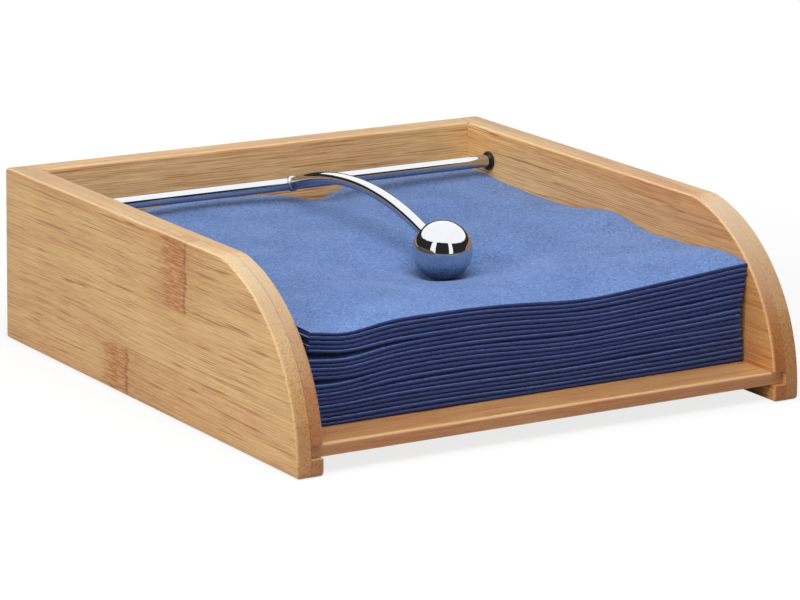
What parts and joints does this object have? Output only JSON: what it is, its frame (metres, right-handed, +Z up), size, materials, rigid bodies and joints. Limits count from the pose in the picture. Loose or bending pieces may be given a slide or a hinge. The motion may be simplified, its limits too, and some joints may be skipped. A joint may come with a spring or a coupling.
{
  "type": "napkin holder",
  "caption": "Open-fronted bamboo tray for folded paper napkins, with a curved chrome arm on a rod whose ball weight rests on the stack and lifts to the back.",
  "frame": {"origin": "middle of the tray's footprint, on the surface it stands on", "axes": "+X to the right seen from the open front, +Y to the back, +Z up"},
  "size_m": [0.19, 0.1934, 0.0595],
  "materials": {
    "bamboo_outer_ply": "satin",
    "bamboo_inner_ply": "satin",
    "bamboo_back": "satin",
    "bamboo_base": "satin",
    "dowel_wood": "matte",
    "bush_plastic": "satin",
    "chromed_steel": "polished",
    "napkin_paper": "matte"
  },
  "bodies": {
    "holder": {"left_side_outer_ply": "bamboo_outer_ply", "left_side_inner_ply": "bamboo_inner_ply", "right_side_outer_ply": "bamboo_outer_ply", "right_side_inner_ply": "bamboo_inner_ply", "back_panel": "bamboo_back", "base_board": "bamboo_base", "back_dowels": "dowel_wood", "left_rod_bush": "bush_plastic", "right_rod_bush": "bush_plastic"},
    "press_arm_assembly": {"pivot_rod": "chromed_steel", "press_arm": "chromed_steel", "arm_weld": "chromed_steel", "ball_weight": "chromed_steel"},
    "napkin_stack": {"napkin_01": "napkin_paper", "napkin_02": "napkin_paper", "napkin_03": "napkin_paper", "napkin_04": "napkin_paper", "napkin_05": "napkin_paper", "napkin_06": "napkin_paper", "napkin_07": "napkin_paper", "napkin_08": "napkin_paper", "napkin_09": "napkin_paper", "napkin_10": "napkin_paper", "napkin_11": "napkin_paper", "napkin_12": "napkin_paper", "napkin_13": "napkin_paper", "napkin_14": "napkin_paper", "napkin_15": "napkin_paper", "napkin_16": "napkin_paper", "napkin_17": "napkin_paper", "napkin_18": "napkin_paper", "napkin_19": "napkin_paper"},
    "top_napkin": {"napkin_20": "napkin_paper"}
  },
  "joints": [
    {"name": "arm_lift", "type": "hinge", "parent": "holder", "child": "press_arm_assembly", "pos_m": [0.0032, 0.07275, 0.0483], "axis": [-1, 0, 0], "range_deg": [0, 118]},
    {"name": "stack_slide", "type": "slide", "parent": "holder", "child": "napkin_stack", "axis": [0, -1, 0], "range_m": [0, 0.19]},
    {"name": "top_napkin_slide", "type": "slide", "parent": "holder", "child": "top_napkin", "axis": [0, -1, 0], "range_m": [0, 0.19]}
  ]
}
